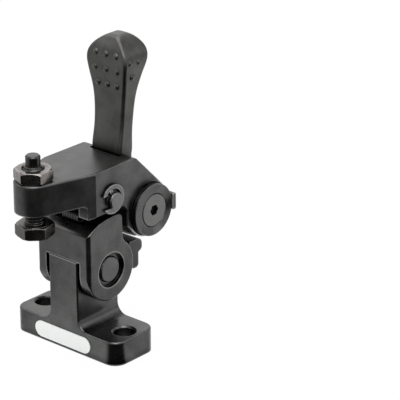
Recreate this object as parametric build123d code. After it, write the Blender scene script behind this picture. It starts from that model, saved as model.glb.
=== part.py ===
from build123d import *
from math import cos, radians, sin
import os

# Cam clamp for holding a workpiece on a machine table. Millimetres, X along the base and all hinge
# axes, -Y towards the workpiece, +Z up, origin at the middle of the base's underside.

# Fits
running_fit = 0.03
seat_fit = 0.02
side_gap = 0.25
cam_gap = 0.2
rest_gap = 0.1

# Base and post
base_length = 42.0
base_depth = 17.6
base_height = 7.5
base_corner = 4.0
rim_edge = 0.6
hole_edge = 4.8
hole_size = 6.4
hole_chamfer = 0.5
post_width = 11.5
post_root = 3.5
shoulder_rise = 4.0

# Link and the pin it swings on
link_axis_height = 25.2
head_radius = 7.85
link_width = 21.0
link_side_gap = 1.0
link_front_corner = 1.3
link_radius = 9.6
link_waist_reach = 5.25
link_core_reach = 4.05
link_waist_fillet = 3.0
link_crown_radius = 19.3
link_crown_rise = 16.8
link_crown_offset = 1.55
link_corner = 1.7
link_edge = 0.5
link_pin_size = 8.0
link_pin_recess = 0.4
link_counterbore = 10.8
link_counterbore_depth = 1.2
post_slot_gap = 0.35

# Pin between link and arm
arm_axis_offset = 1.08
arm_axis_lift = 5.25
tongue_radius = 4.5
tongue_foot_reach = 4.93
arm_pin_size = 5.0
arm_pin_tip = 0.85
clip_gap = 0.15
groove_depth = 0.5
clip_thickness = 0.7
clip_size = 9.0
clip_band = 1.3
clip_mouth = 4.2
clip_shift = (-0.5, 0.5)

# Clamp arm
arm_top_rise = 10.05
arm_underside_rise = 0.65
arm_edge = 0.6
boss_reach = 21.63
boss_radius = 5.8
flare_reach = 6.93
cheek_reach = 9.63
cheek_drop = 3.75
cheek_step = 1.2
cheek_lobe = 4.7
arch_reach = 6.03
arch_corner = 2.0
arm_rear_corner = 2.75
pocket_reach = 7.53
roof_thickness = 4.0
lever_slot_reach = 8.05

# Cam shaft and what sits on it
cam_axis_back = 15.52
cam_axis_drop = 7.65
cam_lobe = 8.75
shaft_size = 8.0
bush_wall = 1.2
spring_recess = 8.25
recess_depth = 2.8
disc_radius = 8.05
disc_thickness = 1.6
disc_gap = 0.5
head_gap = 0.3
screw_size = 5.0
screw_head = 10.0
screw_countersink = 10.5
screw_length = 9.0
hex_socket = 3.0
hex_socket_depth = 1.8
lug_front_gap = 0.3
lug_thickness = 1.6
lug_height = 5.2
lug_stand = 1.9
dowel_size = 3.0
dowel_reach = 7.0

# Torsion springs
lever_wire = 1.0
lever_coil = 6.3
lever_pitch = 1.15
lever_turns = 1.75
lever_leg = 3.5
arm_wire = 0.6
arm_coil = 1.3
arm_pitch = 0.7
arm_turns = 9
arm_leg = 4.2
arm_spring_offset = 6.8
arm_spring_drop = 5.2
arm_spring_shift = 1.0

# Cam and lever
cam_travel = 91.0
cam_start_radius = 10.0
cam_rise = 1.1
cam_run_out = 7.0
hub_radius = 9.3
lever_half_width = 5.75
lever_reach = 53.0
stem_start = 5.0
# Lever sections: depth below the tip, half width, half depth, lead in front of the cam axis
lever_sections = (
    (36.3, 5.75, 2.75, 4.35),
    (28.6, 5.77, 2.62, 3.75),
    (24.6, 5.85, 2.60, 3.35),
    (20.6, 6.08, 2.72, 3.05),
    (16.6, 6.55, 3.05, 2.80),
    (12.6, 7.25, 3.80, 2.50),
    (8.6, 7.85, 4.80, 1.90),
    (5.6, 7.50, 5.20, 1.35),
    (3.1, 5.80, 4.75, 1.08),
    (1.3, 3.60, 3.60, 1.05),
    (0.3, 1.60, 1.75, 1.05),
)
lever_edge = 1.0
stud_radius = 1.15
stud_stand = 0.6
# Stud rows on the front and back: depth below the tip, pitch. Side studs: shift, depth below the tip
stud_rows = ((5.5, 3.95), (10.0, 4.3), (14.7, 3.65))
side_studs = ((-2.7, 7.4), (0.95, 7.7), (-0.8, 11.8))

# Anvil on the rear nose
anvil_width = 11.0
anvil_lead = 3.35
anvil_height = 9.2
anvil_depth = 5.5
anvil_pad = 4.2
anvil_step = 1.1
anvil_tab = 2.8
nose_width = 8.0
nose_foot = 0.5
nose_fillet = 3.0
rivet_size = 2.4
rivet_head = 3.6
rivet_pitch = 4.4
rivet_grip = 6.0

# Adjusting bolt and lock nut
bolt_size = 6.0
hex_across = 10.0
bolt_gap = 3.7
bolt_head_thickness = 3.8
washer_face = 0.4
washer_face_size = 9.2
stub_size = 4.4
stub_length = 3.3
thread_over_nut = 0.7
nut_thickness = 3.6
hex_chamfer = 0.55

# Label plate
label_length = 22.5
label_height = 5.1
label_thickness = 0.3
label_centre_x = -0.6
label_centre_z = 3.5

# Places worked out from the sizes above
hole_pitch = base_length - 2 * hole_edge
link_axis = (base_depth / 2 - head_radius, link_axis_height)
shoulder_height = link_axis[1] + shoulder_rise
link_waist_back = link_axis[0] + link_waist_reach
link_core_back = link_axis[0] + link_core_reach
link_crown_height = link_axis[1] + link_crown_rise
link_inside = post_width / 2 + link_side_gap
cheek_inside = post_width / 2 + side_gap
cheek_outside = link_width / 2

arm_axis = (link_axis[0] + arm_axis_offset, link_crown_height + arm_axis_lift)
arm_top = arm_axis[1] + arm_top_rise
arm_underside = arm_axis[1] + arm_underside_rise
boss_front = arm_axis[0] - boss_reach
flare_end = arm_axis[0] - flare_reach
cheek_front = arm_axis[0] - cheek_reach
cheek_bottom = arm_axis[1] - cheek_drop
arch_back = arm_axis[0] + arch_reach
pocket_front = arm_axis[0] - pocket_reach
pocket_roof = arm_top - roof_thickness
tongue_half = cheek_inside - rest_gap * 3
groove_start = cheek_outside + clip_gap
arm_pin_end = groove_start + clip_thickness + arm_pin_tip

cam_axis = (arm_axis[0] + cam_axis_back, arm_axis[1] - cam_axis_drop)
lever_slot_front = cam_axis[0] - lever_slot_reach
recess_floor = cheek_outside - recess_depth
disc_inside = cheek_outside + disc_gap
disc_outside = disc_inside + disc_thickness
lever_top = cam_axis[1] + lever_reach

anvil_top = cam_axis[1] - cam_start_radius - cam_rise - cam_gap
anvil_front = cam_axis[0] - anvil_lead
anvil_tab_start = anvil_front + anvil_step
anvil_tab_bottom = anvil_top - anvil_height
nose_bottom = anvil_tab_bottom - nose_foot
bolt_head_bottom = arm_underside - bolt_gap - bolt_head_thickness
stub_start = arm_top + nut_thickness + thread_over_nut
stub_top = stub_start + stub_length
arm_spring_axis = (arm_axis[0] - arm_spring_offset, arm_axis[1] - arm_spring_drop)
arm_spring_start = arm_spring_shift - arm_pitch * arm_turns / 2


def side_outline(corners):
    """A face from (y, z, corner radius) corners, in the side view."""
    points = [(y, z) for y, z, radius in corners]
    radii = [radius for y, z, radius in corners]
    return make_face(FilletPolyline(*points, radius=radii, close=True))


def side_box(y_from, y_to, z_from, z_to):
    """A rectangle in the side view."""
    middle = Pos((y_from + y_to) / 2, (z_from + z_to) / 2)
    return middle * Rectangle(y_to - y_from, z_to - z_from)


def side_disc(centre, radius):
    """A disc in the side view."""
    return Pos(*centre) * Circle(radius)


def across(face, x_from, x_to):
    """A side-view face carried along X."""
    return extrude(Plane.YZ.offset(x_from) * face, x_to - x_from)


def bar_across(centre, size, x_from, x_to):
    """A round bar or bore along X."""
    return across(side_disc(centre, size / 2), x_from, x_to)


def round_corner(face, corner, radius):
    """Round the corner of a face that lies nearest to a point."""
    vertex = face.vertices().sort_by_distance(Vector(*corner))[0]
    return fillet(vertex, radius)


def hull_of(*shapes):
    """The face stretched tightly round several outlines."""
    return make_hull([edge for shape in shapes for edge in shape.edges()])


def polar(centre, radius, angle):
    """A side-view point at an angle in degrees from +Y towards +Z."""
    return (centre[0] + radius * cos(radians(angle)), centre[1] + radius * sin(radians(angle)))


def edges_at_x(solid, x):
    """The outline of the flat face that stands at one X."""
    return [edge for edge in solid.edges() if abs((edge @ 0).X - x) + abs((edge @ 0.5).X - x) < 0.001]


def base_post():
    half_depth = base_depth / 2
    half_post = post_width / 2
    plate = Box(base_length, base_depth, base_height, align=(Align.CENTER, Align.CENTER, Align.MIN))
    plate = fillet(plate.edges().filter_by(Axis.Z), base_corner)
    foot = half_post + post_root + rim_edge
    sunk = base_height - post_root / 2
    top = link_axis[1] + head_radius
    front_view = make_face(
        FilletPolyline(
            (-foot, sunk), (-foot, base_height), (-half_post, base_height), (-half_post, top),
            (half_post, top), (half_post, base_height), (foot, base_height), (foot, sunk),
            radius=[0, 0, post_root, 0, 0, post_root, 0, 0],
            close=True,
        )
    )
    column = extrude(Plane.XZ * front_view, half_depth, both=True)
    profile = side_box(-half_depth, half_depth, sunk, link_axis[1])
    profile += side_box(-half_depth, link_axis[0], sunk, shoulder_height)
    profile += side_disc(link_axis, head_radius)
    body = plate + (column & across(profile, -foot, foot))
    rim = [edge for edge in body.edges() if is_rim(edge, half_depth)]
    body = fillet(rim, rim_edge)
    nose_top = anvil_top - anvil_pad
    nose = side_outline([
        (half_depth - 1, nose_top, 0), (anvil_tab_start, nose_top, 0), (anvil_tab_start, nose_bottom, 1),
        (half_depth, nose_bottom, nose_fillet), (half_depth, nose_bottom - 2 * nose_fillet, 0),
        (half_depth - 1, nose_bottom - 2 * nose_fillet, 0),
    ])
    body += across(nose, -nose_width / 2, nose_width / 2)
    body -= bar_across(link_axis, link_pin_size + 2 * running_fit, -half_post, half_post)
    for side in (-1, 1):
        bore = Pos(side * hole_pitch / 2, 0, 0) * Cylinder(hole_size / 2, 3 * base_height)
        mouth = Pos(side * hole_pitch / 2, 0, base_height - hole_chamfer) * Cone(
            hole_size / 2, hole_size / 2 + hole_chamfer, hole_chamfer,
            align=(Align.CENTER, Align.CENTER, Align.MIN),
        )
        body -= bore + mouth
    for place in rivet_places():
        body -= place * rivet(seat_fit)
    return body


def is_rim(edge, half_depth):
    """Edges that run round the casting's outer top rim and up the post's corners."""
    middle = edge @ 0.5
    straight_down = abs((edge % 0.5).Z) > 0.999
    if middle.Z < 0.01 or middle.Z > shoulder_height - 0.01:
        return False
    if abs(middle.X) > post_width / 2 + post_root + 0.01:
        return not straight_down and abs(middle.Z - base_height) < 0.01
    at_face = abs(abs(middle.Y) - half_depth) < 0.001
    return at_face and abs(middle.X) > post_width / 2 - 0.01 and middle.Z < link_axis[1] - head_radius


def rivet_places():
    """Where the two anvil rivets sit, looking forwards along the nose."""
    height = (anvil_tab_bottom + anvil_top - anvil_pad) / 2
    back = anvil_tab_start + anvil_tab
    return [Pos(side * rivet_pitch / 2, back, height) * Rot(90, 0, 0) for side in (-1, 1)]


def rivet(clearance):
    """Countersunk rivet from its flush head along +Z, or its hole with a clearance."""
    head = rivet_head / 2 + clearance
    shank = rivet_size / 2 + clearance
    length = rivet_grip + clearance
    profile = Polyline((0, 0), (head, 0), (shank, head - shank), (shank, length), (0, length), (0, 0))
    return revolve(Plane.XZ * make_face(profile), Axis.Z)


def anvil_rivets():
    return Compound(children=[place * rivet(0) for place in rivet_places()])


def cam_anvil():
    back = anvil_front + anvil_depth
    tab_back = anvil_tab_start + anvil_tab
    pad_bottom = anvil_top - anvil_pad
    profile = side_outline([
        (anvil_front, anvil_top, 0.4), (back, anvil_top, 2.0), (back, pad_bottom, 1.4),
        (tab_back, pad_bottom, 0.5), (tab_back, anvil_tab_bottom, 1.2),
        (anvil_tab_start, anvil_tab_bottom, 0.8), (anvil_tab_start, pad_bottom, 0),
        (anvil_front, pad_bottom, 0),
    ])
    body = across(profile, -anvil_width / 2, anvil_width / 2)
    for place in rivet_places():
        body -= place * rivet(seat_fit)
    return body


def label_plate():
    face = Plane.XZ.offset(base_depth / 2)
    plate = extrude(face * Pos(label_centre_x, label_centre_z) * SlotOverall(label_length, label_height),
                    label_thickness)
    return plate


def link_block(back):
    """Upper part of the link in the side view, crowned on top, back to a given Y."""
    front = link_axis[0] - link_radius
    crown = (link_axis[0] + link_crown_offset, link_crown_height - link_crown_radius)
    block = side_box(front, back, link_axis[1], link_crown_height + 1)
    block &= side_disc(crown, link_crown_radius)
    block = round_corner(block, (front, link_crown_height - 3), link_corner)
    return round_corner(block, (back, link_crown_height), link_corner)


def swing_link():
    axis_y, axis_z = link_axis
    waist = link_waist_back
    ear = link_block(waist) + side_disc(link_axis, link_radius)
    meet = axis_z + (link_radius ** 2 - (waist - axis_y) ** 2) ** 0.5
    ear = round_corner(ear, (waist, meet), link_waist_fillet)
    core = link_block(link_core_back)
    core &= side_box(-base_depth, base_depth, shoulder_height + rest_gap, 2 * link_crown_height)
    core -= side_disc(link_axis, head_radius + post_slot_gap)
    body = across(core, -link_inside, link_inside)
    for side in (-1, 1):
        body += across(ear, *sorted((side * link_inside, side * cheek_outside)))
    body = fillet(edges_at_x(body, cheek_outside) + edges_at_x(body, -cheek_outside), link_edge)
    depth = 4 * link_radius
    plan = Pos(0, axis_y - link_radius + depth / 2) * RectangleRounded(link_width, depth, link_front_corner)
    body &= extrude(plan, 2 * link_crown_height)
    foot = link_crown_height - link_corner
    root = Polyline((arm_axis[0] - tongue_foot_reach, foot), (link_core_back, foot))
    tongue = hull_of(side_disc(arm_axis, tongue_radius), root)
    body += across(tongue, -tongue_half, tongue_half)
    body -= bar_across(link_axis, link_pin_size + 2 * seat_fit, -cheek_outside, cheek_outside)
    for side in (-1, 1):
        body -= bar_across(link_axis, link_counterbore,
                           *sorted((side * (cheek_outside - link_counterbore_depth), side * cheek_outside)))
    body -= bar_across(arm_axis, arm_pin_size + 2 * running_fit, -tongue_half, tongue_half)
    groove = 2 * arm_coil + arm_wire + 6 * rest_gap
    body -= bar_across(arm_spring_axis, groove, -tongue_half, tongue_half)
    spring_y, spring_z = arm_spring_axis
    leg_hole = Cylinder(
        arm_wire / 2 + 2 * rest_gap, arm_leg / 2 + rest_gap, align=(Align.CENTER, Align.CENTER, Align.MAX))
    return body - Pos(arm_spring_start, spring_y + arm_coil, spring_z) * leg_hole


def link_pin():
    end = cheek_outside - link_pin_recess
    body = bar_across(link_axis, link_pin_size, -end, end)
    return chamfer(edges_at_x(body, end) + edges_at_x(body, -end), 0.4)


def arm_pin():
    body = bar_across(arm_axis, arm_pin_size, -arm_pin_end, arm_pin_end)
    body = chamfer(edges_at_x(body, arm_pin_end) + edges_at_x(body, -arm_pin_end), 0.3)
    width = clip_thickness + 2 * seat_fit
    for side in (-1, 1):
        start = side * (groove_start - seat_fit)
        ends = sorted((start, start + side * width))
        ring = side_disc(arm_axis, arm_pin_size) - side_disc(arm_axis, arm_pin_size / 2 - groove_depth)
        body -= across(ring, *ends)
    return body


def arm_pin_clip(side):
    """E-ring with three prongs in the pin's groove, open towards -Y."""
    outer = clip_size / 2
    seat = arm_pin_size / 2 - groove_depth + seat_fit
    hoop = Pos(*clip_shift) * (Circle(outer) - Circle(outer - clip_band))
    prong = Pos((outer + seat) / 2 - clip_band / 2, 0) * Rectangle(outer - seat, clip_band)
    prongs = [Rot(0, 0, angle) * prong for angle in (0, 115, 245)]
    ring = hoop + [piece & Pos(*clip_shift) * Circle(outer - clip_band / 2) for piece in prongs]
    ring -= Circle(seat)
    ring -= Pos(-outer, 0) * Rectangle(2 * outer, clip_mouth)
    ring = Pos(*arm_axis) * ring
    start = side * groove_start
    return across(ring, *sorted((start, start + side * clip_thickness)))


def cheek_face():
    """Side view of one cheek, with the front bar, the arch over the link and the round rear."""
    axis_sum = cam_axis[0] + cam_axis[1]
    reach = cam_lobe * 2 ** 0.5
    top_corner = (axis_sum + reach - arm_top, arm_top)
    low_corner = (arch_back, axis_sum - reach - arch_back)
    guide = Polyline(low_corner, (arch_back, arm_top), top_corner, low_corner)
    face = hull_of(side_disc(cam_axis, cam_lobe), guide)
    face += side_box(2 * boss_front, arch_back, arm_underside, arm_top)
    face += side_box(cheek_front, arch_back, cheek_bottom, arm_top)
    face = round_corner(face, top_corner, arm_rear_corner)
    face = round_corner(face, (cheek_front, arm_underside), cheek_step)
    face = round_corner(face, (arch_back, cheek_bottom), arch_corner)
    return face + side_disc(arm_axis, cheek_lobe)


def clamp_arm():
    plan = hull_of(
        Pos(0, boss_front) * Circle(boss_radius),
        Pos(0, flare_end + boss_reach) * Rectangle(link_width, 2 * boss_reach),
    )
    cheeks = across(cheek_face(), -cheek_outside, cheek_outside)
    body = cheeks & extrude(plan, 2 * arm_top)
    body = fillet(outer_arm_edges(body), arm_edge)
    arm_back = cam_axis[0] + 2 * cam_lobe
    inside = across(side_box(pocket_front, arm_back, 0, pocket_roof), -cheek_inside, cheek_inside)
    slot = across(side_box(lever_slot_front, arm_back, 0, 2 * arm_top), -cheek_inside, cheek_inside)
    below = across(side_box(cheek_front - 1, lever_slot_front, 0, arm_underside), -cheek_inside, cheek_inside)
    body -= inside + slot + below
    lug_front = cam_axis[0] + disc_radius + lug_front_gap
    lug = side_box(lug_front, lug_front + lug_thickness, cam_axis[1] - lug_height / 2, cam_axis[1] + lug_height / 2)
    lug_solid = across(lug, cheek_inside, cheek_outside + lug_stand)
    body += fillet(lug_solid.edges().filter_by(Axis.X), lug_thickness / 3)
    body -= bar_across(cam_axis, 2 * spring_recess, recess_floor, cheek_outside)
    body -= bar_across(arm_axis, arm_pin_size + 2 * running_fit, -cheek_outside, cheek_outside)
    bush_bore = shaft_size + 2 * bush_wall + 2 * seat_fit
    body -= bar_across(cam_axis, bush_bore, -cheek_outside, cheek_outside)
    body -= Pos(0, boss_front, arm_top) * Cylinder(bolt_size / 2 + running_fit, 3 * (arm_top - arm_underside))
    return body


def outer_arm_edges(body):
    """Edges of the top face and of the flat cheeks, which are rounded alike."""
    top = [edge for edge in body.edges() if abs((edge @ 0).Z - arm_top) + abs((edge @ 0.5).Z - arm_top) < 0.001]
    return top + [
        edge for edge in edges_at_x(body, cheek_outside) + edges_at_x(body, -cheek_outside)
        if abs((edge % 0.5).Z) < 0.999 or (edge @ 0.5).Y > flare_end + 0.01
        if abs((edge @ 0.5).Z - arm_top) > 0.001
    ]


def shaft_bush(x_from, x_to):
    tube = side_disc(cam_axis, shaft_size / 2 + bush_wall)
    tube -= side_disc(cam_axis, shaft_size / 2 + running_fit)
    return across(tube, x_from, x_to)


def screw_shape(clearance):
    """Countersunk screw along -X from the disc's face, or its hole with a clearance."""
    head = (screw_head if clearance == 0 else screw_countersink) / 2
    bore = screw_size / 2 + clearance
    depth = head - bore
    length = screw_length + 5 * clearance
    return revolve(
        Plane.XY * make_face(Polyline((0, 0), (0, head), (-depth, bore), (-length, bore), (-length, 0), (0, 0))),
        Axis.X,
    )


def screw_place():
    return Pos(disc_outside, *cam_axis)


def cam_shaft():
    end = disc_inside - rest_gap
    head = -cheek_outside - head_gap
    body = bar_across(cam_axis, shaft_size, head, end)
    cap = bar_across(cam_axis, 2 * disc_radius, head - disc_thickness, head)
    body += fillet(edges_at_x(cap, head - disc_thickness), 0.5)
    body -= screw_place() * screw_shape(seat_fit)
    return body - dowel(seat_fit)


def shaft_washer():
    body = bar_across(cam_axis, 2 * disc_radius, disc_inside, disc_outside)
    body = fillet(edges_at_x(body, disc_outside), 0.3)
    return body - screw_place() * screw_shape(seat_fit)


def shaft_screw():
    socket = Plane.YZ * Pos(0, 0) * RegularPolygon(hex_socket / 2, 6, major_radius=False)
    return screw_place() * (screw_shape(0) - extrude(socket, -hex_socket_depth))


def dowel(clearance):
    """Pin across the hub and the shaft, put in from the front, or its hole."""
    start = cam_axis[0] - hub_radius + (0.4 if clearance == 0 else -1)
    end = cam_axis[0] + dowel_reach + clearance
    bar = Plane.XZ.offset(-start) * Pos(0, cam_axis[1]) * Circle(dowel_size / 2 + clearance)
    return extrude(bar, start - end)


def lever_dowel():
    return dowel(0)


def coil_spring(coil, wire, pitch, turns, legs):
    """Torsion spring wound along +X from x = 0, with a straight leg off each end."""
    height = pitch * turns
    helix = Helix(pitch, height, coil)
    lead = helix % 0
    tail = helix % 1
    first = Line(helix @ 0 - lead * legs[0], helix @ 0)
    last = Line(helix @ 1, helix @ 1 + tail * legs[1])
    path = Wire([first.edge(), helix.edge(), last.edge()])
    ring = Plane(origin=path @ 0, z_dir=path % 0) * Circle(wire / 2)
    return Rot(0, 90, 0) * sweep(ring, path, is_frenet=True)


def lever_spring():
    start = recess_floor + lever_wire / 2 + rest_gap
    body = coil_spring(lever_coil, lever_wire, lever_pitch, lever_turns, (lever_leg, lever_leg))
    return Pos(start, *cam_axis) * body


def arm_spring():
    body = coil_spring(arm_coil, arm_wire, arm_pitch, arm_turns, (arm_leg / 2, arm_leg))
    return Pos(arm_spring_start, *arm_spring_axis) * Rot(90, 0, 0) * body


def cam_face():
    """Side view of the hub and of the cam, whose radius grows with the angle it has turned."""
    steps = 12
    first = 270 - cam_run_out
    span = cam_travel + 2 * cam_run_out
    points = []
    for step in range(steps + 1):
        angle = first + span * step / steps
        radius = cam_start_radius + cam_rise * (angle - 270) / cam_travel
        points.append(polar(cam_axis, radius, angle))
    curve = Spline(*points)
    flank = Polyline(points[-1], cam_axis, points[0])
    lobe = make_face([curve.edge()] + list(flank.edges()))
    start_flank = hull_of(side_disc(cam_axis, hub_radius), Polyline(points[0], cam_axis))
    end_flank = hull_of(side_disc(cam_axis, hub_radius), Polyline(points[-1], cam_axis))
    return lobe + start_flank + end_flank


def lever_half_sizes(drop):
    """Half width, half depth and middle Y of the lever at a depth below its tip."""
    for low, high in zip(lever_sections, lever_sections[1:]):
        if drop >= high[0]:
            break
    share = min(max((low[0] - drop) / (low[0] - high[0]), 0), 1)
    width, depth, lead = (start + share * (end - start) for start, end in zip(low[1:], high[1:]))
    return width, depth, cam_axis[0] - lead


def lever_section(drop):
    """The lever's outline at a depth below its tip, with rounded corners."""
    width, depth, middle = lever_half_sizes(drop)
    corner = min(lever_edge, 0.6 * min(width, depth))
    return Plane(origin=(0, middle, lever_top - drop)) * RectangleRounded(2 * width, 2 * depth, corner)


def studs():
    """Balls that stand out of the head: rows on the front and back, and three on each side."""
    balls = []
    for drop, pitch in stud_rows:
        width, depth, middle = lever_half_sizes(drop)
        reach = depth - stud_radius + stud_stand
        for column in (-1, 0, 1):
            balls += [Pos(column * pitch, middle + face * reach, lever_top - drop) for face in (-1, 1)]
    for shift, drop in side_studs:
        width, depth, middle = lever_half_sizes(drop)
        reach = width - stud_radius + stud_stand
        balls += [Pos(side * reach, middle + shift, lever_top - drop) for side in (-1, 1)]
    return [place * Rot(90, 0, 0) * Sphere(stud_radius) for place in balls]


def cam_lever():
    drops = [row[0] for row in lever_sections]
    lowest = lever_reach - stem_start
    body = loft([lever_section(drop) for drop in (lowest, drops[0])], ruled=True)
    body += loft([lever_section(drop) for drop in drops])
    for stud in studs():
        body += stud
    body += across(cam_face(), -lever_half_width, lever_half_width)
    body -= bar_across(cam_axis, shaft_size + 2 * seat_fit, -lever_half_width, lever_half_width)
    return body - dowel(seat_fit)


def hex_prism(thickness, corner_angle):
    """Hexagon with both rims chamfered round, one corner at an angle from +X."""
    body = extrude(Rot(0, 0, corner_angle) * RegularPolygon(hex_across / 2, 6, major_radius=False), thickness)
    corner = hex_across / 3 ** 0.5
    ends = revolve(Plane.XZ * make_face(Polyline(
        (0, 0), (corner - hex_chamfer * 1.4, 0), (corner, hex_chamfer), (corner, thickness - hex_chamfer),
        (corner - hex_chamfer * 1.4, thickness), (0, thickness), (0, 0),
    )), Axis.Z)
    return body & ends


def lock_nut():
    mouth = 0.5
    body = hex_prism(nut_thickness, 36)
    body -= Cylinder(bolt_size / 2 + running_fit, 3 * nut_thickness)
    for height, turn in ((nut_thickness, 180), (0, 0)):
        body -= Pos(0, 0, height) * Rot(turn, 0, 0) * Cone(
            bolt_size / 2 + mouth, bolt_size / 2, mouth, align=(Align.CENTER, Align.CENTER, Align.MIN))
    return Pos(0, boss_front, arm_top) * body


def adjusting_bolt():
    head_top = bolt_head_thickness - washer_face
    body = hex_prism(head_top, 45)
    body += Pos(0, 0, head_top) * Cylinder(
        washer_face_size / 2, washer_face, align=(Align.CENTER, Align.CENTER, Align.MIN))
    up = (Align.CENTER, Align.CENTER, Align.MIN)
    shank = Cylinder(bolt_size / 2, stub_start - bolt_head_bottom, align=up)
    shank = chamfer(shank.edges().sort_by(Axis.Z)[-1], 0.6)
    stub = Cylinder(stub_size / 2, stub_top - bolt_head_bottom, align=up)
    stub = chamfer(stub.edges().sort_by(Axis.Z)[-1], 0.4)
    return Pos(0, boss_front, bolt_head_bottom) * (body + shank + stub)


os.makedirs("parts", exist_ok=True)
nodes = {
    "base_post": base_post(),
    "cam_anvil": cam_anvil(),
    "anvil_rivets": anvil_rivets(),
    "label_plate": label_plate(),
    "swing_link": swing_link(),
    "link_pin": link_pin(),
    "arm_spring": arm_spring(),
    "arm_pin": arm_pin(),
    "arm_pin_clip_right": arm_pin_clip(1),
    "arm_pin_clip_left": arm_pin_clip(-1),
    "clamp_arm": clamp_arm(),
    "shaft_bush_right": shaft_bush(cheek_inside, cheek_outside),
    "shaft_bush_left": shaft_bush(-cheek_outside, -cheek_inside),
    "lever_spring": lever_spring(),
    "cam_lever": cam_lever(),
    "cam_shaft": cam_shaft(),
    "shaft_washer": shaft_washer(),
    "shaft_screw": shaft_screw(),
    "lever_dowel": lever_dowel(),
    "lock_nut": lock_nut(),
    "adjusting_bolt": adjusting_bolt(),
}
for name, shape in nodes.items():
    export_step(shape, f"parts/{name}.step")
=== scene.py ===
import bpy
import math
import numpy as np
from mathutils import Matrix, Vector


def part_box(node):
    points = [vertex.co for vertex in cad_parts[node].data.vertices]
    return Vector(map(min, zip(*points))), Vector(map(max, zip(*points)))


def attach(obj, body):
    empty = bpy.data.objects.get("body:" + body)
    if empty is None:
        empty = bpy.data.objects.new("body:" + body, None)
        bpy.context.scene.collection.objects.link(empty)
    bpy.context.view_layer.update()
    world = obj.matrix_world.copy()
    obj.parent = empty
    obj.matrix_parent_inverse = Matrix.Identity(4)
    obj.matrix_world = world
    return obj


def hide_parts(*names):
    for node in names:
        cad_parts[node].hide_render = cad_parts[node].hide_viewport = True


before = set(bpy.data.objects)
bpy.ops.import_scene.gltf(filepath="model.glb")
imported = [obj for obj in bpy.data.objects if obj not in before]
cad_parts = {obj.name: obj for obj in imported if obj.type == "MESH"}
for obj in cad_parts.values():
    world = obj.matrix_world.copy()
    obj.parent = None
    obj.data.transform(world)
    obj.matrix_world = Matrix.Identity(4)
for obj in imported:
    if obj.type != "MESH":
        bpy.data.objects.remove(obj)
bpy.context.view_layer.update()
print("frame loaded:", len(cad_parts), "nodes")
mm = 0.001    # Blender works in metres


class Sock:    # a shader socket: each operator used on it adds a Math node
    def __init__(self, sheet, link):
        self.sheet = sheet
        self.link = link

    def math(self, operation, *values, clamp=False):
        settings = {"operation": operation, "use_clamp": clamp}
        return self.sheet.node("ShaderNodeMath", settings, dict(enumerate(values)))

    def __add__(self, other):
        return self.math("ADD", self, other)

    def __radd__(self, other):
        return self.math("ADD", other, self)

    def __sub__(self, other):
        return self.math("SUBTRACT", self, other)

    def __rsub__(self, other):
        return self.math("SUBTRACT", other, self)

    def __mul__(self, other):
        return self.math("MULTIPLY", self, other)

    def __rmul__(self, other):
        return self.math("MULTIPLY", other, self)

    def __truediv__(self, other):
        return self.math("DIVIDE", self, other)

    def __rtruediv__(self, other):
        return self.math("DIVIDE", other, self)

    def __pow__(self, other):
        return self.math("POWER", self, other)

    def __rpow__(self, other):
        return self.math("POWER", other, self)


class Sheet:    # the nodes of one material, or of the world
    def __init__(self, name, world=False):
        self.owner = (bpy.data.worlds if world else bpy.data.materials).new(name)
        self.owner.use_nodes = True
        self.tree = self.owner.node_tree
        self.tree.nodes.clear()
        self.out = self.tree.nodes.new("ShaderNodeOutputWorld" if world else "ShaderNodeOutputMaterial")

    def node(self, kind, settings, inputs, output=0):    # settings first, then values or links
        made = self.tree.nodes.new(kind)
        for key, value in settings.items():
            setattr(made, key, value)
        for key, value in inputs.items():
            socket = made.inputs[key]
            if isinstance(value, Sock):
                self.tree.links.new(value.link, socket)
            else:
                socket.default_value = value
        return Sock(self, made.outputs[output])

    def place(self):
        return self.node("ShaderNodeTexCoord", {}, {}, "Object")

    def axis(self, vector, letter):
        return self.node("ShaderNodeSeparateXYZ", {}, {"Vector": vector}, letter)

    def noise(self, scale, detail, rough):
        inputs = {"Vector": self.place(), "Scale": scale, "Detail": detail, "Roughness": rough}
        return self.node("ShaderNodeTexNoise", {}, inputs, "Fac")

    def mix(self, share, first, second):    # of two colours: share 0 gives the first, 1 the second
        return self.node("ShaderNodeMix", {"data_type": "RGBA"}, {0: share, 6: first, 7: second}, 2)

    def clamp(self, value):
        return value.math("ADD", value, 0.0, clamp=True)

    def glow(self, tone):
        return self.node("ShaderNodeEmission", {}, {"Color": colour(tone), "Strength": 1.0}, "Emission")

    def finish(self, settings, bumps, normal=None):    # bumps: height, strength, distance
        for height, strength, distance in bumps:
            inputs = {"Height": height, "Strength": strength, "Distance": distance}
            if normal:
                inputs["Normal"] = normal
            normal = self.node("ShaderNodeBump", {}, inputs, "Normal")
        settings["Normal"] = normal
        return self.show(self.node("ShaderNodeBsdfPrincipled", {}, settings, "BSDF"))

    def show(self, shader):
        self.tree.links.new(shader.link, self.out.inputs["Surface"])
        return self.owner


def colour(value, tint=(1, 1, 1)):
    return (value * tint[0], value * tint[1], value * tint[2], 1)


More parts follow.
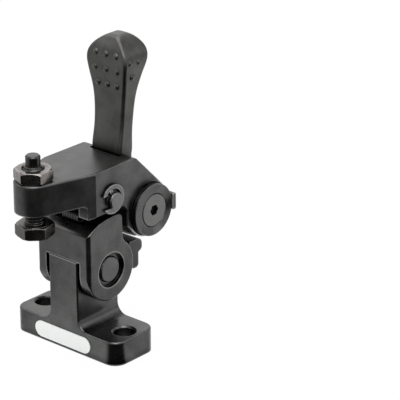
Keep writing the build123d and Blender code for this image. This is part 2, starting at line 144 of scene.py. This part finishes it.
oxide = {    # what all the metal finishes share
    "samples": 8,                      # of the rounding, of the painted shade and of the edge wear and highlight mask
    "cloudDetail": 4,
    "cloudRough": 0.6,
    "cloudSpread": 1.6,                # contrast between the dark and the light patches
    "cloudShift": 0.3,
    "cloudGloss": 0.14,                # how far the patches change the roughness
    "cloudBump": (0.10, 0.4 * mm),     # strength, distance
    "grainScale": 2600,
    "grainDetail": 3,
    "grainRough": 0.6,
    "grainGloss": 0.10,
    "grainHeight": 0.04 * mm,
    # painted shade in corners and gaps between parts: reach, least share, power
    "paintedShadeReach": 2.5 * mm,
    "paintedShadeLeast": 0.15,              # share of the tone that is left in the deepest corner of the painted shade
    "paintedShadePower": 1.5,
    # outer edges lightened partly by real wear and partly by a painted highlight: reach, start, tone
    "edgeMaskReach": 0.7 * mm,
    "edgeMaskStart": 0.88,
    "wornAndHighlightTone": 3.0,                  # tone of worn edges and their painted highlight, times the light tone
}
lathe = {    # turning marks on discs and pins
    "scale": 1100.0,
    "distortion": 0.8,
    "detail": 1.0,
    "bump": (0.25, 0.02 * mm),         # strength, distance
}
headTone = {    # a bolt's head, paler and browner than its other end
    "top": 5 * mm,                     # above the bolt's lowest point
    "fade": 1 * mm,
    "dark": 1.6,                       # times the finish's own dark tone
    "light": 2.1,                      # times its light tone
    "tint": (1.0, 0.92, 0.87),
}


def latheBumps(sheet, node, dish):
    # rings round the X axis through the node's middle, and a hollow that grows as (r / radius) squared
    low, high = (Vector(corner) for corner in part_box(node))
    middle = (low + high) / 2
    shifted = sheet.node("ShaderNodeVectorMath", {"operation": "SUBTRACT"}, {0: sheet.place(), 1: middle})
    across = sheet.node("ShaderNodeVectorMath", {"operation": "MULTIPLY"}, {0: shifted, 1: (0, 1, 1)})
    rings = sheet.node("ShaderNodeTexWave", {"wave_type": "RINGS", "rings_direction": "X"}, {
        "Vector": across,
        "Scale": lathe["scale"],
        "Distortion": lathe["distortion"],
        "Detail": lathe["detail"],
    }, "Fac")
    radius = sheet.node("ShaderNodeVectorMath", {"operation": "LENGTH"}, {0: across}, "Value")
    hollow = (radius / (high[1] - middle[1])) ** 2
    return [(rings, *lathe["bump"]), (hollow, 1.0, dish * mm)]


def patches(sheet, clouds, dark, light, tint):
    share = clouds * oxide["cloudSpread"] - oxide["cloudShift"]
    return sheet.mix(share, colour(dark, tint), colour(light, tint))


def oxideFinish(name, dark, light, rough=0.29, grain=0.2, tint=(1.0, 1.0, 0.99), cloud=180, edge=0.35,
                wearAndHighlight=1.2, turned=None, dish=0.0, paleHead=None):
    # turned names the node that the lathe marks centre on, and paleHead the bolt whose head is paler
    sheet = Sheet(name)
    outer = {"samples": oxide["samples"]}
    inner = {"samples": oxide["samples"], "inside": True, "only_local": True}
    rounded = sheet.node("ShaderNodeBevel", outer, {"Radius": edge * mm}, "Normal")
    # painted shade: ambient occlusion from this and nearby parts darkens the colour in corners and gaps
    shade = sheet.node("ShaderNodeAmbientOcclusion", outer, {"Distance": oxide["paintedShadeReach"]}, "AO")
    within = sheet.node("ShaderNodeAmbientOcclusion", inner, {"Distance": oxide["edgeMaskReach"]}, "AO")
    clouds = sheet.noise(cloud, oxide["cloudDetail"], oxide["cloudRough"])
    fine = sheet.noise(oxide["grainScale"], oxide["grainDetail"], oxide["grainRough"])
    tone = patches(sheet, clouds, dark, light, tint)
    if paleHead:
        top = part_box(paleHead)[0][2] + headTone["top"]
        below = sheet.clamp((top - sheet.axis(sheet.place(), "Z")) / headTone["fade"])
        pale = patches(sheet, clouds, dark * headTone["dark"], light * headTone["light"], headTone["tint"])
        tone = sheet.mix(below, tone, pale)
    wornAndHighlighted = sheet.clamp((oxide["edgeMaskStart"] - within) * wearAndHighlight * (clouds + 0.5))    # real wear and a painted highlight, only near an outer edge
    tone = sheet.mix(wornAndHighlighted, tone, colour(light * oxide["wornAndHighlightTone"], tint))
    least = oxide["paintedShadeLeast"]
    paintedShade = least + shade ** oxide["paintedShadePower"] * (1 - least)    # painted shade: corners, slots and gaps between parts are darkened
    tone = sheet.mix(paintedShade, colour(0.0), tone)
    roughness = rough + (clouds - 0.5) * oxide["cloudGloss"] + (fine - 0.5) * oxide["grainGloss"]
    bumps = [(clouds, *oxide["cloudBump"]), (fine, grain, oxide["grainHeight"])]
    if turned:
        bumps += latheBumps(sheet, turned, dish)
    return sheet.finish({"Base Color": tone, "Metallic": 1.0, "Roughness": roughness}, bumps, rounded)


label = {    # the bare plate on the base's front
    "dark": (0.76, 0.775, 0.765, 1),
    "light": (0.80, 0.81, 0.80, 1),
    "rough": 0.32,
    "gloss": 0.1,                      # how far the grain changes the roughness
    "scale": 1500,
    "detail": 3,
    "grainRough": 0.5,
    "bump": (0.1, 0.03 * mm),          # strength, distance
}


def labelFinish(name):
    sheet = Sheet(name)
    fine = sheet.noise(label["scale"], label["detail"], label["grainRough"])
    tone = sheet.mix(fine, label["dark"], label["light"])
    roughness = label["rough"] + fine * label["gloss"]
    settings = {"Base Color": tone, "Metallic": 0.0, "Roughness": roughness}
    return sheet.finish(settings, [(fine, *label["bump"])])


metals = {    # dark and light tone, and what differs from the values in oxideFinish
    "castBlack": dict(dark=0.064, light=0.137, rough=0.28, grain=0.15, wearAndHighlight=2.2),
    "armBlack": dict(dark=0.062, light=0.142, rough=0.36, grain=0.12, wearAndHighlight=2.2),
    # painted shade: the anvil's tones are darker than the casting's for the arm's shadow over it
    "anvilShadedBlack": dict(dark=0.050, light=0.090, rough=0.28),
    "discBlack": dict(dark=0.078, light=0.138, turned="shaft_washer", dish=3.6),
    "leverBlack": dict(dark=0.058, light=0.138, rough=0.36, tint=(1.0, 0.99, 0.96)),
    "steelBlack": dict(dark=0.12, light=0.19, rough=0.3, grain=0.15),
    "linkPinBlack": dict(dark=0.10, light=0.17, rough=0.3, grain=0.15, turned="link_pin"),
    "armPinBlack": dict(dark=0.12, light=0.19, rough=0.3, grain=0.15, turned="arm_pin"),
    "shaftBlack": dict(dark=0.10, light=0.17, rough=0.3, grain=0.12, wearAndHighlight=0.8, turned="cam_shaft"),
    "screwBlack": dict(dark=0.12, light=0.18, rough=0.3, grain=0.12, wearAndHighlight=0.0, turned="shaft_screw"),
    "rivetBlack": dict(dark=0.12, light=0.18, rough=0.3, grain=0.12, wearAndHighlight=0.0),
    "boltBlack": dict(dark=0.046, light=0.090, rough=0.26, grain=0.05, paleHead="adjusting_bolt"),
    "nutBlack": dict(dark=0.09, light=0.31, rough=0.22, grain=0.1, tint=(1.0, 0.93, 0.88), cloud=600),
    "wireBlack": dict(dark=0.14, light=0.2, rough=0.3, grain=0.1, edge=0.05, wearAndHighlight=0.0),
    "bronze": dict(dark=0.3, light=0.45, rough=0.4, grain=0.3, tint=(1.0, 0.72, 0.42)),
}
pieces = {
    "base_post": "castBlack",
    "swing_link": "castBlack",
    "clamp_arm": "armBlack",
    "cam_lever": "leverBlack",
    "cam_anvil": "anvilShadedBlack",
    "anvil_rivets": "rivetBlack",
    "link_pin": "linkPinBlack",
    "arm_pin": "armPinBlack",
    "arm_pin_clip_right": "steelBlack",
    "arm_pin_clip_left": "steelBlack",
    "cam_shaft": "shaftBlack",
    "shaft_washer": "discBlack",
    "shaft_screw": "screwBlack",
    "lever_dowel": "steelBlack",
    "lock_nut": "nutBlack",
    "adjusting_bolt": "boltBlack",
    "arm_spring": "wireBlack",
    "lever_spring": "wireBlack",
    "shaft_bush_right": "bronze",
    "shaft_bush_left": "bronze",
    "label_plate": "labelWhite",
}
finishes = {name: oxideFinish(name, **values) for name, values in metals.items()}
finishes["labelWhite"] = labelFinish("labelWhite")
for node, name in pieces.items():
    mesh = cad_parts[node].data
    mesh.materials.clear()
    mesh.materials.append(finishes[name])
print("finishes set")


bolt = {    # millimetres, heights from the bolt's lowest point
    "body": "bolt",
    "node": "adjusting_bolt",
    "across": 10.0,                    # over the head's flats
    "corner": 45,                      # degrees from +X to one of its corners
    "headTop": 3.6,
    "headChamfer": 0.35,
    "headSlope": 1.4,                  # radius that the chamfer loses for each 1 in height
    "headRows": 7,
    "washerFace": 4.6,                 # a radius, as the next two are
    "radius": 2.98,
    "stub": 2.2,
    "washerTop": 3.8,
    "pitch": 1.0,
    "depth": 0.45,
    "flank": 1.4,                      # steepness of the thread's flanks
    "crest": 0.2,                      # the more, the wider its flat crests
    "endChamfer": 0.6,
    "stubLength": 3.3,
    "stubChamfer": 0.4,
    "columns": 96,
    "rowsPerTurn": 14,
    "sharpAngle": 32,                  # degrees
}


def closedShell(name, rings, sharpAngle, material):
    # a wall round a grid of points, rows rising and columns counter-clockwise, and a fan over each end
    rows, columns = rings.shape[:2]
    ends = np.array([rings[0].mean(axis=0), rings[-1].mean(axis=0)])
    points = np.concatenate([rings.reshape(-1, 3), ends])
    row, column = np.meshgrid(np.arange(rows - 1), np.arange(columns), indexing="ij")
    first = row * columns + column
    second = row * columns + (column + 1) % columns
    walls = np.stack([first, second, second + columns, first + columns], axis=-1).reshape(-1, 4)
    around = np.arange(columns)
    beside = (around + 1) % columns
    last = (rows - 1) * columns
    foot = np.stack([beside, around, np.full(columns, rows * columns)], axis=-1)
    top = np.stack([last + around, last + beside, np.full(columns, rows * columns + 1)], axis=-1)
    mesh = bpy.data.meshes.new(name)
    mesh.from_pydata(points.tolist(), [], walls.tolist() + foot.tolist() + top.tolist())
    mesh.polygons.foreach_set("use_smooth", np.ones(len(mesh.polygons), bool))
    mesh.set_sharp_from_angle(angle=math.radians(sharpAngle))
    mesh.materials.append(material)
    made = bpy.data.objects.new(name, mesh)
    bpy.context.scene.collection.objects.link(made)
    return made


def headRadius(size, turn, height):
    # hexagon: r = half the width over the flats / cos(angle from the flat's middle)
    fromFlat = (turn - math.radians(size["corner"])) % (np.pi / 3) - np.pi / 6
    hexagon = size["across"] / 2 / np.cos(fromFlat)
    # chamfer cone: r = the corner's radius - slope * (chamfer's height - height from the nearer end)
    fromEnd = np.minimum(height, size["headTop"] - height)
    corner = size["across"] / math.sqrt(3)
    cone = corner - size["headSlope"] * np.maximum(size["headChamfer"] - fromEnd, 0)
    return np.minimum(hexagon[None, :], cone[:, None])


def threadRadius(size, turn, height, threadTop):
    # screw thread: r = R - depth * v(z / pitch - angle / 2 pi), v a valley once per turn that fades in
    phase = (height[:, None] / size["pitch"] - turn[None, :] / (2 * np.pi)) % 1
    valley = np.clip(size["flank"] * np.abs(2 * phase - 1) - size["crest"], 0, 1)
    fade = np.clip((height - size["washerTop"]) / size["pitch"], 0, 1)[:, None]
    # end chamfer: r = R - height above the chamfer's lower edge
    cone = size["radius"] - np.maximum(height - (threadTop - size["endChamfer"]), 0)
    return np.minimum(size["radius"] - size["depth"] * valley * fade, cone[:, None])


def threadedBolt(name, size, material):
    # rings of (r cos t, r sin t, z), with r from headRadius, the washer face, threadRadius and the stub
    low, high = (np.array(corner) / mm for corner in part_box(size["node"]))
    centre = (low + high) / 2
    length = high[2] - low[2]
    threadTop = length - size["stubLength"]
    turn = np.linspace(0, 2 * np.pi, size["columns"], endpoint=False)
    headRows = np.concatenate([
        np.linspace(0, size["headChamfer"], size["headRows"]),
        np.linspace(size["headTop"] - size["headChamfer"], size["headTop"], size["headRows"]),
    ])
    threadRows = int((threadTop - size["washerTop"]) / size["pitch"] * size["rowsPerTurn"])
    shankRows = np.linspace(size["washerTop"], threadTop, threadRows)
    circle = np.ones((1, len(turn)))
    radius = np.concatenate([
        headRadius(size, turn, headRows),
        size["washerFace"] * circle,
        size["washerFace"] * circle,
        threadRadius(size, turn, shankRows, threadTop),
        size["stub"] * circle,
        size["stub"] * circle,
        (size["stub"] - size["stubChamfer"]) * circle,
    ])
    height = np.concatenate([
        headRows,
        [size["headTop"], size["washerTop"]],
        shankRows,
        [threadTop, length - size["stubChamfer"], length],
    ])
    rings = np.stack([radius * np.cos(turn), radius * np.sin(turn), height[:, None] * circle], axis=-1)
    rings = (rings + [centre[0], centre[1], low[2]]) * mm
    made = closedShell(name, rings, size["sharpAngle"], material)
    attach(made, size["body"])
    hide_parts(size["node"])


threadedBolt("threadedBolt", bolt, finishes["boltBlack"])
print("bolt built")


view = {
    "azimuth": 44.27,                  # degrees from -Y towards +X
    "elevation": 22.65,
    "distance": 640 * mm,
    "nearest": 10 * mm,                # what is closer isn't drawn
    "focalPixels": 2177.39,
    "pictureSize": 400,
    "aimHeight": 42 * mm,              # of the point on the Z axis that shows at aimPixel
    "aimPixel": (82.07, 206.49),
    "sensor": 36,
}


def awayFrom(azimuth, elevation):
    # unit vector (sin a cos e, -cos a cos e, sin e)
    around, rise = math.radians(azimuth), math.radians(elevation)
    flat = math.cos(rise)
    return Vector((math.sin(around) * flat, -math.cos(around) * flat, math.sin(rise)))


def setCamera():
    back = awayFrom(view["azimuth"], view["elevation"])
    right = awayFrom(view["azimuth"] + 90, 0)
    up = back.cross(right)
    half = view["pictureSize"] / 2
    aimX, aimY = view["aimPixel"]
    forward = -back * view["focalPixels"] + right * (half - aimX) + up * (aimY - half)
    data = bpy.data.cameras.new("camera")
    camera = bpy.data.objects.new("camera", data)
    bpy.context.scene.collection.objects.link(camera)
    camera.location = Vector((0, 0, view["aimHeight"])) + back * view["distance"]
    camera.rotation_euler = forward.to_track_quat("-Z", "Y").to_euler()
    data.sensor_width = view["sensor"]
    data.lens = view["focalPixels"] * view["sensor"] / view["pictureSize"]
    data.clip_start = view["nearest"]
    bpy.context.scene.camera = camera


studio = {    # metres
    "floorSize": 1.4,
    "floorTone": 0.8,
    "floorWhite": 0.96,                # the rest keeps the object's shadow
    "floorGlow": 0.9,                  # how much of the white floor the metal shows
    "skyGlow": 0.6,                    # how bright the sky is in the metal
    "skyTone": 0.85,                   # what lights the matt surfaces
    "target": (0, 0, 0.045),           # the lamps face this point
    "cardStart": 0.5,                  # millimetres from a card's corner to its near edge
    "cardPoints": 24,
}
lamps = {    # azimuth and elevation in degrees, distance, width and height in metres, power in watts
    "backLamp": (-136, 30, 0.75, 0.80, 0.50, 0.85),
    "topLamp": (-120, 78, 0.80, 0.70, 0.70, 3.0),
    "leftLamp": (-60, 30, 0.70, 0.40, 0.40, 0.4),
    "frontLamp": (50, 52, 0.75, 0.45, 0.45, 2.0),
    "rightLamp": (125, 35, 0.70, 0.40, 0.40, 0.4),
}
cards = {    # painted reflections, seen only in the metal: blackCard paints the shaded floor on the camera side, greyCard a dimmer floor on the left front, and the card nearest the base the floor's contact shadow; fans just over the floor, millimetres: corner, azimuths of both soft edges, reach, tone
    "blackCard": ((18, -5.8, 0.4), (-41, -5), (106, 131), 600, 0.024),
    "greyCard": ((-21, -8.8, 0.2), (-95, -91), (-14, -10), 600, 0.70),
    "floorShadowCard": ((21, 0, 0.3), (112, 120), (172, 180), 60, 0.78),
}


def softbox(name, azimuth, elevation, distance, width, height, power):
    away = awayFrom(azimuth, elevation)
    data = bpy.data.lights.new(name, "AREA")
    data.shape = "RECTANGLE"
    data.size = width
    data.size_y = height
    data.energy = power
    lamp = bpy.data.objects.new(name, data)
    bpy.context.scene.collection.objects.link(lamp)
    lamp.location = Vector(studio["target"]) + away * distance
    lamp.rotation_euler = away.to_track_quat("Z", "Y").to_euler()


def flatFace(name, points, material):
    mesh = bpy.data.meshes.new(name)
    mesh.from_pydata(points, [], [tuple(range(len(points)))])
    mesh.materials.append(material)
    made = bpy.data.objects.new(name, mesh)
    bpy.context.scene.collection.objects.link(made)
    return made


def cardFinish(name, corner, rising, falling, tone):
    # bearing = arctan(x / -y) round the corner, and the share is 3 t^2 - 2 t^3 across either soft edge
    sheet = Sheet(name)
    shifted = sheet.node("ShaderNodeVectorMath", {"operation": "SUBTRACT"}, {0: sheet.place(), 1: corner})
    east = sheet.axis(shifted, "X")
    north = sheet.axis(shifted, "Y")
    bearing = east.math("ARCTAN2", east, -1 * north) * (180 / math.pi)
    opening = (bearing - rising[0]) / (rising[1] - rising[0])
    closing = (falling[1] - bearing) / (falling[1] - falling[0])
    edge = sheet.clamp(bearing.math("MINIMUM", opening, closing))
    share = edge * edge * (3 - 2 * edge)
    clear = sheet.node("ShaderNodeBsdfTransparent", {}, {}, "BSDF")
    return sheet.show(sheet.node("ShaderNodeMixShader", {}, {0: share, 1: clear, 2: sheet.glow(tone)}))


def layCard(name, corner, rising, falling, reach, tone):    # a painted reflection: shows in the metal and nowhere else
    # the rim is corner + (sin a, -cos a) * cardStart one way, and * reach on the way back
    corner = np.array(corner)
    angles = np.radians(np.linspace(rising[0], falling[1], studio["cardPoints"]))
    way = np.column_stack([np.sin(angles), -np.cos(angles), np.zeros_like(angles)])
    rim = (np.concatenate([way * studio["cardStart"], way[::-1] * reach]) + corner) * mm
    card = flatFace(name, rim.tolist(), cardFinish(name, corner * mm, rising, falling, tone))
    card.visible_camera = False
    card.visible_diffuse = False
    card.visible_shadow = False


def layFloor():
    sheet = Sheet("floor")
    camera = sheet.node("ShaderNodeLightPath", {}, {}, "Is Camera Ray")
    glossy = sheet.node("ShaderNodeLightPath", {}, {}, "Is Glossy Ray")
    share = camera * studio["floorWhite"] + glossy * studio["floorGlow"]
    plain = sheet.node("ShaderNodeBsdfDiffuse", {}, {"Color": colour(studio["floorTone"])}, "BSDF")
    material = sheet.show(sheet.node("ShaderNodeMixShader", {}, {0: share, 1: plain, 2: sheet.glow(1.0)}))
    half = studio["floorSize"] / 2
    corners = [(-half, -half, 0), (half, -half, 0), (half, half, 0), (-half, half, 0)]
    floor = flatFace("floor", corners, material)


def setSky():
    sheet = Sheet("sky", world=True)
    camera = sheet.node("ShaderNodeLightPath", {}, {}, "Is Camera Ray")
    glossy = sheet.node("ShaderNodeLightPath", {}, {}, "Is Glossy Ray")
    plain = studio["skyTone"]
    tone = camera * (1 - plain) + glossy * (studio["skyGlow"] - plain) + plain
    sky = sheet.node("ShaderNodeBackground", {}, {"Color": tone, "Strength": 1.0}, "Background")
    bpy.context.scene.world = sheet.show(sky)


bpy.context.scene.view_settings.view_transform = "Standard"
setCamera()
setSky()
layFloor()
for name, values in cards.items():
    layCard(name, *values)
for name, values in lamps.items():
    softbox(name, *values)
print("camera and stage set")
